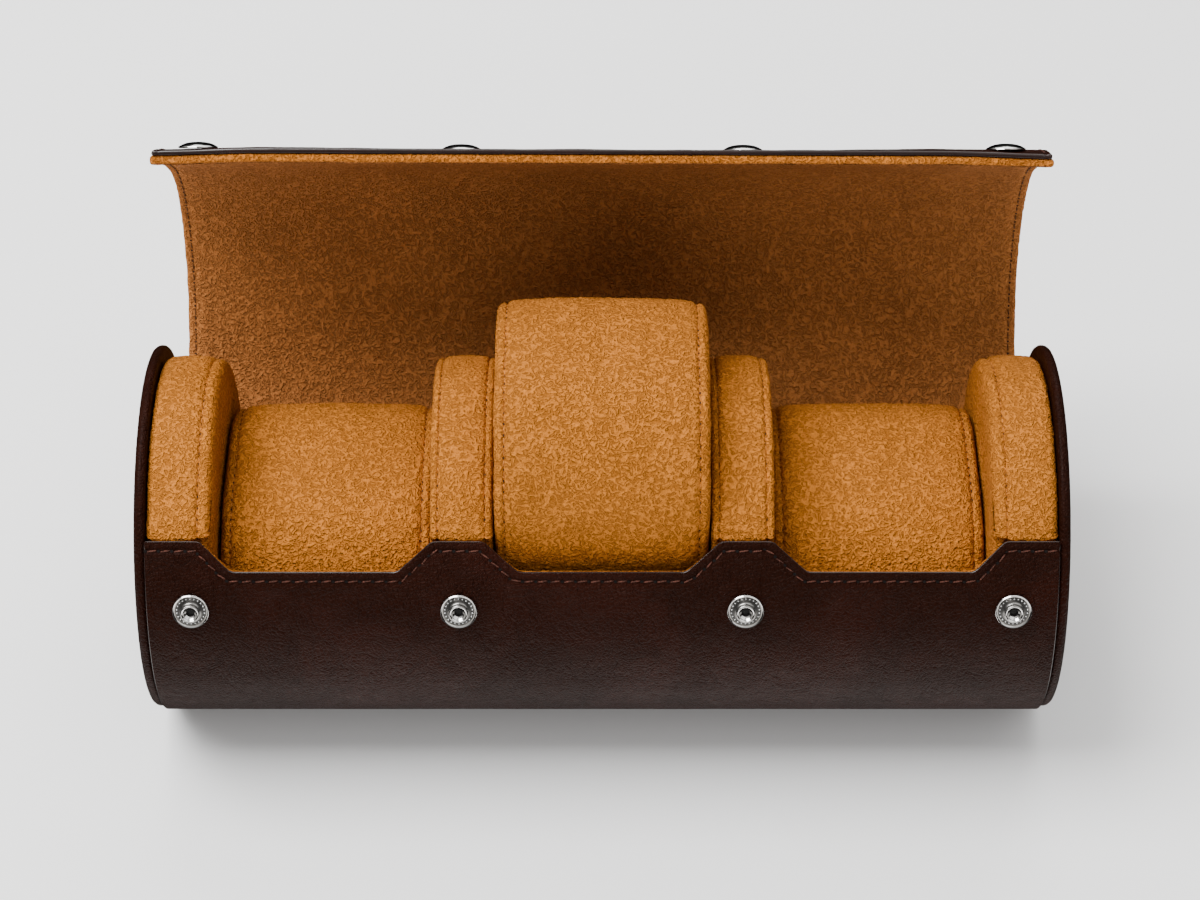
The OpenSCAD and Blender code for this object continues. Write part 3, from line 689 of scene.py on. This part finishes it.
# end caps with their rolled rims
endCapSet = {"steps": 128, "profile": [  # (radius, height) from the drum's end
    (0, 0.06), (41.9, 0.06), (42.8, 0.2), (43.15, 0.7), (43.2, 1.3), (43.05, 1.85), (42.7, 2.3), (42.2, 2.54),
    (41.6, 2.6), (41.0, 2.5), (40.6, 2.2), (40.3, 1.95), (39.9, 1.92), (39.4, 2.08), (38.2, 2.2), (30, 2.28),
    (15, 2.32), (0, 2.34)]}
for side, label in ((-1, "left"), (1, "right")):
    cap = lathe("endCap_" + label, endCapSet["profile"], endCapSet["steps"])
    turnOut = Matrix(((0, 0, side, 0), (0, 1, 0, 0), (-side, 0, 0, 0), (0, 0, 0, 1)))
    cap.data.transform(Matrix.Translation((side * drum["halfLength"] * mm, 0, drum["axisZ"] * mm)) @ turnOut)
    for v in cap.data.vertices:
        v.co.z = flattened(v.co.z / mm) * mm
    smooth(cap, 50)
    dress(cap, "case", brownLeather, "outer_leather", "end_cap_" + label, "end_board_" + label)
print("end caps turned")

# padded discs: end pads and dividers
padSet = {"wallR": 39.95, "crownR": 41.4, "crownShift": 1.0, "front": 39.9, "rear": 154, "ease": 1.1,
          "low": 4.05, "turns": 360, "across": 0.9, "wave": 0.35, "napTall": 0.5, "sewn": (43.5, 160)}
suedeStitch = {"pitch": 2.6, "length": 1.5, "width": 0.42, "sink": 0.06, "hole": 0.5, "holeLift": 0.05}


def padOutline(angle):  # (y, z) from the drum's axis on the pad's rim
    a = math.radians(angle)
    share = easeBetween(padSet["front"] - padSet["ease"], padSet["front"] + padSet["ease"], angle)
    share *= 1 - easeBetween(padSet["rear"] - padSet["ease"], padSet["rear"] + padSet["ease"], angle)
    crown = Vector((-padSet["crownShift"] - padSet["crownR"] * math.cos(a), padSet["crownR"] * math.sin(a)))
    wall = Vector((-math.cos(a), math.sin(a))) * padSet["wallR"]
    point = wall.lerp(crown, share)
    return Vector((point.x, max(point.y, padSet["low"] - drum["axisZ"])))


# stations run across the form: x, depth under the outline, share of the way to the centre
def paddedForm(name, outline, stations, centre):
    outline = [Vector(p) for p in outline]
    normals = []
    for i, p in enumerate(outline):
        along = outline[(i + 1) % len(outline)] - outline[i - 1]
        normals.append(Vector((along.y, -along.x)).normalized())
    centre = Vector(centre)
    flip = 1 if (outline[0] - centre).dot(normals[0]) > 0 else -1

    def spot(station, index):
        x, depth, share = station
        point = outline[index % len(outline)] - normals[index % len(outline)] * flip * depth
        point = point.lerp(centre, share)
        return Vector((x, point.x, point.y + drum["axisZ"])) * mm
    fine = [stations[0]]
    for a, b in zip(stations, stations[1:]):
        count = max(1, round(abs(b[0] - a[0]) / padSet["across"]))
        fine += [tuple(p + (q - p) * i / count for p, q in zip(a, b)) for i in range(1, count + 1)]
    form = bentSheet(name, fine, list(range(len(outline) + 1)), spot)
    closeUp(form, 0.01)
    return form, spot


def padSurface(pad, wave):
    soften(pad, waves, wave)
    soften(pad, naps, padSet["napTall"])
    smooth(pad, 80)


def seamRow(name, spot, station, indices, body):
    points = [spot(station, i) for i in indices]
    inner = [spot((station[0], station[1] + 1, station[2]), i) for i in indices]
    ups = [(a - b).normalized() for a, b in zip(points, inner)]
    row = stitchRow(name, points, ups, suedeStitch, suedeThread)
    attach(row, body)


def seamPair(name, spot, middle, look, indices, body):  # one seam by each face
    for side, label in ((-1, "a"), (1, "b")):
        station = (middle + side * (look["half"] - look["seamIn"]), look["seamDepth"], 0)
        seamRow(name + "_" + label, spot, station, indices, body)


def faceToFace(look):  # stations from the left face's middle over the rim to the right face's middle
    half, rim = look["half"], look["rim"]
    right = [(half - look["faceIn"], rim[0][1], share) for share in look["shares"]]
    right += [(half - gone, depth, 0) for gone, depth in rim] + [(look["middle"], 0, 0)]
    return [(-x, d, s) for x, d, s in right] + right[::-1]


angles = [-90 + 360 * i / padSet["turns"] for i in range(padSet["turns"])]
outline = [padOutline(a if a < 180 else a - 360) for a in angles]
sewnFrom, sewnTo = padSet["sewn"]
shownTurns = [i for i, a in enumerate(angles) if sewnFrom < a < sewnTo]

dividerSet = {"half": 7.2, "at": 32.15, "seamIn": 1.8, "seamDepth": 1.15, "faceIn": 0.4,
              "shares": (1, 0.8, 0.6, 0.4, 0.2), "middle": 0.1,
              "rim": ((0, 9), (0, 4.5), (0.02, 2.4), (0.2, 1.5), (0.6, 0.9), (1.15, 0.68), (1.55, 0.85),
                      (1.8, 1.2), (2.05, 0.75), (2.5, 0.4), (3.4, 0.22), (4.8, 0.1))}
for side, label in ((-1, "left"), (1, "right")):
    middle = side * dividerSet["at"]
    stations = [(x + middle, d, s) for x, d, s in faceToFace(dividerSet)]
    divider, spot = paddedForm("divider_" + label, outline, stations, (0, 0))
    padSurface(divider, padSet["wave"])
    dress(divider, "case", suedes["honeySuede"], "suede", "divider_cover_" + label,
          "divider_foam_" + label, "divider_core_" + label)
    seamPair("dividerSeam_" + label, spot, middle, dividerSet, shownTurns, "case")

endPad = {"inner": 89.2, "outer": 103.9, "faceIn": 0.35, "seamIn": 3.05, "seamDepth": 1.3,
          "shares": (1, 0.8, 0.6, 0.4, 0.2), "backShares": (0.3, 0.6, 1),
          "innerRim": ((0, 10), (0, 6), (0.05, 3.6), (0.3, 2.4), (0.8, 1.5), (1.5, 1.0), (2.2, 0.85),
                       (2.75, 1.0), (3.05, 1.35), (3.35, 0.8), (4.0, 0.4), (5.2, 0.15), (7.5, 0)),
          "outerRim": ((3.5, 0.1), (1.6, 0.35), (0.6, 0.9), (0.1, 1.8), (0, 3))}
for side, label in ((-1, "left"), (1, "right")):
    inner, outer, innerRim, outerRim = (endPad[key] for key in ("inner", "outer", "innerRim", "outerRim"))
    across = [(inner + endPad["faceIn"], innerRim[0][1], share) for share in endPad["shares"]]
    across += [(inner + gone, depth, 0) for gone, depth in innerRim]
    across += [(outer - gone, depth, 0) for gone, depth in outerRim]
    across += [(outer, outerRim[-1][1], share) for share in endPad["backShares"]]
    across = [(side * x, d, s) for x, d, s in across]
    pad, spot = paddedForm("endPad_" + label, outline, across, (0, 0))
    padSurface(pad, padSet["wave"])
    dress(pad, "case", suedes["honeySuede"], "suede", "end_pad_cover_" + label, "end_pad_foam_" + label)
    station = (side * (inner + endPad["seamIn"]), endPad["seamDepth"], 0)
    seamRow("endPadSeam_" + label, spot, station, shownTurns, "case")
print("pads and dividers stuffed")

# watch cushions
cushionSet = {"deep": 68.2, "tall": 60.7, "round": 26.4, "back": 2.2, "drop": -9.4, "limitR": 39.6,
              "low": 4.3, "half": 24.6, "lift": 34, "spacing": 64.3, "turns": 66, "wave": 0.5,
              "sewn": (0.21, 0.82), "seamIn": 2.4, "seamDepth": 1.62, "faceIn": 0.5,
              "shares": (1, 0.75, 0.5, 0.25), "middle": 0.5,
              "rim": ((0.3, 12), (0.05, 7), (0, 4.2), (0.1, 2.9), (0.45, 2.0), (0.95, 1.45), (1.55, 1.2),
                      (2.05, 1.35), (2.4, 1.7), (2.75, 1.15), (3.4, 0.75), (5, 0.45), (8, 0.2), (13, 0.05))}


def cushionOutline():
    c = cushionSet
    outline = []
    for quarter, (sy, sz) in enumerate(((1, -1), (1, 1), (-1, 1), (-1, -1))):
        corner = Vector((sy * (c["deep"] / 2 - c["round"]), sz * (c["tall"] / 2 - c["round"])))
        for i in range(c["turns"]):
            a = math.radians(-90 + quarter * 90 + 90 * (i + 0.5) / c["turns"])
            outline.append(corner + Vector((math.cos(a), math.sin(a))) * c["round"])
    shaped = []
    for p in outline:
        p = p + Vector((c["back"], c["drop"]))
        if p.length > c["limitR"]:
            p = p * c["limitR"] / p.length
        shaped.append(Vector((p.x, max(p.y, c["low"] - drum["axisZ"]))))
    return shaped


cushionLine = cushionOutline()
cushionShown = range(*(round(len(cushionLine) * share) for share in cushionSet["sewn"]))
for index, label in enumerate(("left", "middle", "right")):
    x0 = (index - 1) * cushionSet["spacing"]
    up = cushionSet["lift"] if label == "middle" else 0
    moved = [p + Vector((0, up)) for p in cushionLine]
    stations = [(x + x0, d, s) for x, d, s in faceToFace(cushionSet)]
    centre = (cushionSet["back"], cushionSet["drop"] + up)
    cushion, spot = paddedForm("cushion_" + label, moved, stations, centre)
    padSurface(cushion, cushionSet["wave"])
    body = "cushion_" + label
    dress(cushion, body, suedes["honeySuede"], "suede", "cushion_cover_" + label,
          "cushion_sides_" + label, "cushion_foam_" + label)
    seamPair("cushionSeam_" + label, spot, x0, cushionSet, cushionShown, body)
print("cushions stuffed")

# lid and flap: leather outside, suede inside
lidHide = {"columnStep": 1.0, "edgeColumns": (0, 0.75, 1.1, 1.4, 1.65, 1.8, 1.95, 2.2, 2.7, 3.6, 4.6),
           "panelStep": 1.6, "hingeStep": 0.06, "nearSplit": (0.4, 1.2), "edgeStep": 0.6, "edgeTo": 18,
           "flapStep": 1.2, "leatherBevel": 0.4, "suedeBevel": 0.7, "seamX": 102.4, "grooveDeep": 0.16,
           "grooveWide": 0.45, "wave": 0.4, "napTall": 0.3, "turnedDepth": 2.2, "turnedWide": 3.5,
           "meetsWithin": 0.25}
pressSet = {"inner": 4.3, "outer": 5.5, "floor": 0.35}  # round each socket


def hingePoint(share, drumAngle, drumR, lidR):  # from the drum's wall at 0 to the lid's end at 1
    def wall(angle):
        return Vector((-math.sin(math.radians(angle)), -math.cos(math.radians(angle))))
    a = math.radians(drumAngle)
    start = Vector((-drumR * math.cos(a), drumR * math.sin(a)))
    end = lidPoint(lid["rearAngle"], lidR)
    pull = (end - start).length / 3
    leave = start + wall(drumAngle) * pull
    arrive = end - wall(lid["rearAngle"] + lid["open"]) * pull
    t, u = share, 1 - share
    return start * u ** 3 + leave * 3 * u * u * t + arrive * 3 * u * t * t + end * t ** 3


def flapLift(x, angle):  # the free edge hangs at its corners and sways, and the flap sags behind it
    h = flapHang
    atEdge = easeBetween(h["droopFrom"], lid["freeAngle"], angle)
    sag = h["sag"] * easeBetween(*h["sagAcross"], abs(x)) * easeBetween(*h["sagFront"], angle)
    sag *= easeBetween(*h["sagRear"], angle)
    return -atEdge * (h["droop"] * easeBetween(*h["corners"], abs(x)) + h["sway"] * x) - sag


def lidPlacer(radius, drumAngle, drumR):
    def atRow(x, row):
        kind, value = row
        if radius == lid["outerR"]:  # the leather stops short of the suede's turned edge
            x *= 1 - lid["leatherIn"] / lid["halfLength"]
        if kind == "lid":
            y, z = lidPoint(value, radius)
            wider = easeBetween(0, flapBend["widens"], flapBend["from"] - value)
            x *= 1 + (lid["flapHalf"] / lid["halfLength"] - 1) * wider
            z += flapLift(x, value)
        else:
            y, z = hingePoint(value, drumAngle, drumR, radius)
        return Vector((x, y, z + drum["axisZ"])) * mm
    return atRow


def fattenEdge(sheet):  # the suede is turned over along the free edge, so it is thicker there
    group = sheet.vertex_groups.new(name="fullness")
    free = inRoom(lidPoint(lid["freeAngle"], lid["liningR"]))
    thinner = 1 - liningDepth / lidHide["turnedDepth"]
    for v in sheet.data.vertices:
        gone = (Vector((0, v.co.y, v.co.z)) - Vector((0, free.y, free.z))).length / mm
        group.add([v.index], 1 - thinner * easeBetween(0, lidHide["turnedWide"], gone), "REPLACE")


def lidColumns():
    half, (*insets, last) = lid["halfLength"], lidHide["edgeColumns"]
    edge = [-half + inset for inset in insets]
    return edge + spread(-half + last, half - last, lidHide["columnStep"]) + [-x for x in edge[::-1]]


def inRoom(point, x=0.0):  # (y, z) from the drum's axis, in metres
    return Vector((x, point[0], point[1] + drum["axisZ"])) * mm


def setFrame(x, base, tip, lift):  # matrix at a base point, its Z towards the tip
    out = (inRoom(tip) - inRoom(base)).normalized()
    across = Vector((1, 0, 0))
    matrix = Matrix((across, out.cross(across), out)).transposed().to_4x4()
    matrix.translation = inRoom(base, x) + out * lift * mm
    return matrix


def flapFrame(x, radius, lift=0.0):  # square to the flap where it is bent
    a = math.radians(snapPlace["angle"])
    reach = lid["shift"] * math.cos(a) + math.sqrt(radius ** 2 - (lid["shift"] * math.sin(a)) ** 2)
    lidAngle = math.degrees(math.atan2(reach * math.sin(a), reach * math.cos(a) - lid["shift"]))
    along = lidPoint(lidAngle - 1, radius) - lidPoint(lidAngle + 1, radius)
    base = lidPoint(lidAngle, radius) + Vector((0, flapLift(x, lidAngle)))
    return setFrame(x, base, base - Vector((-along.y, along.x)).normalized(), lift)


def pressIn(sheet):  # the sockets press the suede's pile down
    for x in snapPlace["xs"]:
        seat = flapFrame(x, lid["boreR"])
        toSeat = seat.inverted()
        for v in sheet.data.vertices:
            spot = toSeat @ v.co / mm
            reach = math.hypot(spot.x, spot.y)
            if reach < pressSet["outer"] and spot.z < pressSet["floor"]:
                pressed = easeBetween(pressSet["outer"], pressSet["inner"], reach)
                spot.z += (pressSet["floor"] - spot.z) * pressed
                v.co = seat @ (spot * mm)


splitAt = flapBend["from"]
close, near = lidHide["nearSplit"]
panelAngles = [splitAt, splitAt + close] + spread(splitAt + near, lid["rearAngle"], lidHide["panelStep"])
flapAngles = spread(lid["freeAngle"], lidHide["edgeTo"], lidHide["edgeStep"])
flapAngles += spread(lidHide["edgeTo"] + 1, splitAt - near, lidHide["flapStep"]) + [splitAt - close, splitAt]
panelRows, flapRows = ([("lid", a) for a in some] for some in (panelAngles, flapAngles))
hingeRows = [("hinge", share) for share in spread(1, 0, lidHide["hingeStep"])][1:]
ahead = lidPoint(splitAt, lid["outerR"]) - lidPoint(splitAt + 1, lid["outerR"])
splitPlane = (inRoom(bendStart), Vector((0, *ahead)).normalized())
liningDepth = lid["liningR"] - lid["boreR"]
leatherFace = (lidPlacer(lid["outerR"], drum["seamAngle"], drum["leatherR"]), drum["leatherThick"],
               lidHide["leatherBevel"], (brownLeather, paintedEdge), "outer_leather")
suedeFace = (lidPlacer(lid["liningR"], drum["rimAngle"], drum["boreR"] + liningDepth), liningDepth,
             lidHide["suedeBevel"], (suedes["lidSuedeShaded"], suedes["edgeSuede"]), "lid_suede")
lidSheets = {  # rows, face, nodes
    "lidLeather": (panelRows + hingeRows, leatherFace, ("lid_leather", "hinge_leather")),
    "flapLeather": (flapRows, leatherFace, ("flap_leather",)),
    "lidLining": (panelRows + hingeRows, suedeFace, ("lid_lining", "lid_board", "hinge_lining")),
    "flapLining": (flapRows, suedeFace, ("flap_lining",)),
}
for sheetName, (rows, (placer, depth, bevel, materials, slot), nodes) in lidSheets.items():
    onFlap, isSuede = sheetName.startswith("flap"), slot == "lid_suede"
    sheet = bentSheet(sheetName, lidColumns(), rows, placer)
    coat(sheet, *materials)
    if sheetName == "flapLining":
        fattenEdge(sheet)
        depth = lidHide["turnedDepth"]
    thicken(sheet, depth, bevel, meets=[splitPlane])
    normals = [v.normal.copy() for v in sheet.data.vertices]
    for v, outward in zip(sheet.data.vertices, normals):  # the side seams pull the surface in
        gap = (abs(v.co.x) / mm - lidHide["seamX"]) / lidHide["grooveWide"]
        v.co -= outward * lidHide["grooveDeep"] * math.exp(-gap ** 2) * mm
    soften(sheet, waves, lidHide["wave"])
    if isSuede:
        soften(sheet, naps, lidHide["napTall"])
    if sheetName == "flapLining":
        pressIn(sheet)
    for v in sheet.data.vertices:  # lid and flap end exactly where they meet
        gone = (v.co - splitPlane[0]).dot(splitPlane[1])
        if abs(gone) < lidHide["meetsWithin"] * mm:
            v.co -= splitPlane[1] * gone
    smooth(sheet, 60)
    dress(sheet, None, materials[0], slot, *nodes)
    if onFlap:
        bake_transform(sheet)
    else:
        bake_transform(sheet)

lidStitch = {"pitch": 3.0, "length": 1.9, "width": 0.45, "sink": 0.04, "hole": 0.55, "holeLift": 0.06,
             "fromEdge": 3, "fromSplit": 1, "fromHinge": 2, "lidStep": 3, "flapStep": 2}
seamAngles = {"lid": spread(splitAt + lidStitch["fromSplit"], lid["rearAngle"] - lidStitch["fromHinge"],
                            lidStitch["lidStep"]),
              "flap": spread(lid["freeAngle"] + lidStitch["fromEdge"], splitAt - lidStitch["fromSplit"],
                             lidStitch["flapStep"])}
seams = {  # radius, which way is up, thread, slot
    "In": (lid["boreR"], -1, lidThreadShaded, "lid_suede"),
    "Out": (lid["outerR"], 1, leatherThread, "outer_leather"),
}
for label, angles in seamAngles.items():
    for faceName, (radius, outwards, thread, slot) in seams.items():
        for x, sideName in ((-lidHide["seamX"], "Left"), (lidHide["seamX"], "Right")):
            points = [inRoom(lidPoint(a, radius) + Vector((0, flapLift(x, a))), x) for a in angles]
            ups = [Vector((0, *(lidPoint(a, radius) - lidPoint(a, radius - 1)))) * outwards for a in angles]
            row = stitchRow(label + "Stitches" + faceName + sideName, points, ups, lidStitch, thread)
            if label == "flap":
                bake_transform(row)
            else:
                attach(row, "lid")
print("lid and flap sewn")

# press studs: stud and post on the drum, cap, socket and springs on the flap
snapShapes = {  # (radius, height) from the surface that each is set in, turned in steps
    "steps": 48,
    "stud": [(0, 0.34), (0.72, 0.34), (0.8, 0.95), (0.98, 1.15), (1.35, 1.32), (1.6, 1.7), (1.75, 1.95),
             (1.95, 2.04), (2.15, 1.96), (2.26, 1.72), (2.22, 1.42), (2.02, 1.15), (1.95, 0.8), (2.1, 0.48),
             (2.4, 0.32), (2.9, 0.26), (3.4, 0.28), (3.6, 0.5), (3.85, 0.76), (4.08, 0.8), (4.24, 0.64),
             (4.3, 0.36), (4.28, 0.05), (0, 0.05)],
    "cap": [(0, 0.1), (4.5, 0.1), (4.6, 0.25), (4.55, 0.45), (4.3, 0.6), (3.6, 1.0), (2.6, 1.34),
            (1.4, 1.54), (0, 1.6)],
    "socket": [(0, 0.9), (2.5, 0.9), (2.55, -0.05), (2.8, -0.22), (3.1, -0.12), (3.4, 0.02), (3.8, 0.0),
               (4.1, -0.12), (4.35, -0.05), (4.4, 0.2), (4.35, 0.5), (0, 0.98)],
}
studLook = {"eye": 1.2, "above": 0.2, "channel": (1.9, 3.65), "sink": 0.05}  # radii and heights
springSet = {"apart": 1.75, "long": 3.4, "thick": 0.42, "height": 0.25, "sides": 10, "bevel": 0.1}
knurlSet = {"count": 22, "radius": 3.18, "size": 0.34, "height": 0.33}


def drumFrame(x, lift):
    a = math.radians(snapPlace["angle"])
    out = Vector((-math.cos(a), math.sin(a)))
    return setFrame(x, out * drum["leatherR"], out * (drum["leatherR"] + 1), lift)


def steelPiece(piece, name, body, *nodes):
    piece.name = piece.data.name = name
    smooth(piece, 45)
    dress(piece, body, polishedSteel, "snap_metal", *nodes)
    if not body:
        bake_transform(piece)


def knurlBead(turn):
    clearSelection()
    a = math.tau * (turn + 0.5) / knurlSet["count"]
    r = knurlSet["radius"] * mm
    place = (r * math.cos(a), r * math.sin(a), knurlSet["height"] * mm)
    bpy.ops.mesh.primitive_ico_sphere_add(subdivisions=1, radius=knurlSet["size"] / 2 * mm, location=place)
    bpy.ops.object.transform_apply()
    return bpy.context.object


for i, (x, capSink) in enumerate(zip(snapPlace["xs"], snapPlace["capSinks"]), 1):
    stud = lathe("stud", snapShapes["stud"], snapShapes["steps"])
    coat(stud, polishedSteel, studEyeShade, agedSteel)
    channelFrom, channelTo = studLook["channel"]
    for face in stud.data.polygons:  # the open eye in the head gets painted shade inside, and the channel has aged
        reach = [math.hypot(*stud.data.vertices[v].co[:2]) / mm for v in face.vertices]
        if face.center.z > studLook["above"] * mm:
            if max(reach) < studLook["eye"]:
                face.material_index = 1
            elif min(reach) > channelFrom and max(reach) < channelTo:
                face.material_index = 2
    beads = [knurlBead(turn) for turn in range(knurlSet["count"])]  # in the channel
    stud = joined([stud] + beads, "stud")
    stud.data.transform(drumFrame(x, -studLook["sink"]))
    steelPiece(stud, f"stud_{i}", "case", f"snap_stud_{i}")
    cap = lathe("cap", snapShapes["cap"], snapShapes["steps"])
    cap.data.transform(flapFrame(x, lid["outerR"], -capSink))
    steelPiece(cap, f"cap_{i}", None, f"snap_cap_{i}")
    socket = lathe("socket", snapShapes["socket"], snapShapes["steps"])
    socket.data.transform(flapFrame(x, lid["boreR"]))
    steelPiece(socket, f"socket_{i}", None, f"snap_socket_{i}")
springs = []
for x in snapPlace["xs"]:  # two sprung wires across each socket
    for side in (-1, 1):
        clearSelection()
        bpy.ops.mesh.primitive_cylinder_add(vertices=springSet["sides"], radius=springSet["thick"] / 2 * mm,
                                            depth=springSet["long"] * mm, rotation=(math.radians(90), 0, 0))
        bpy.ops.object.transform_apply()
        wire = bpy.context.object
        modify(wire, "BEVEL", width=springSet["bevel"] * mm, segments=2, limit_method="ANGLE")
        wire.data.transform(flapFrame(x, lid["boreR"], springSet["height"])
                            @ Matrix.Translation((side * springSet["apart"] * mm, 0, 0)))
        springs.append(wire)
steelPiece(joined(springs, "springs"), "socketSprings", None, "socket_springs")
for nodeName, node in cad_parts.items():
    if nodeName.startswith("snap_post"):
        node.data.materials.clear()
        coat(node, polishedSteel)
print("press studs set")
for helper in (oneStitch, holeShadeDisc):
    bpy.data.objects.remove(helper)
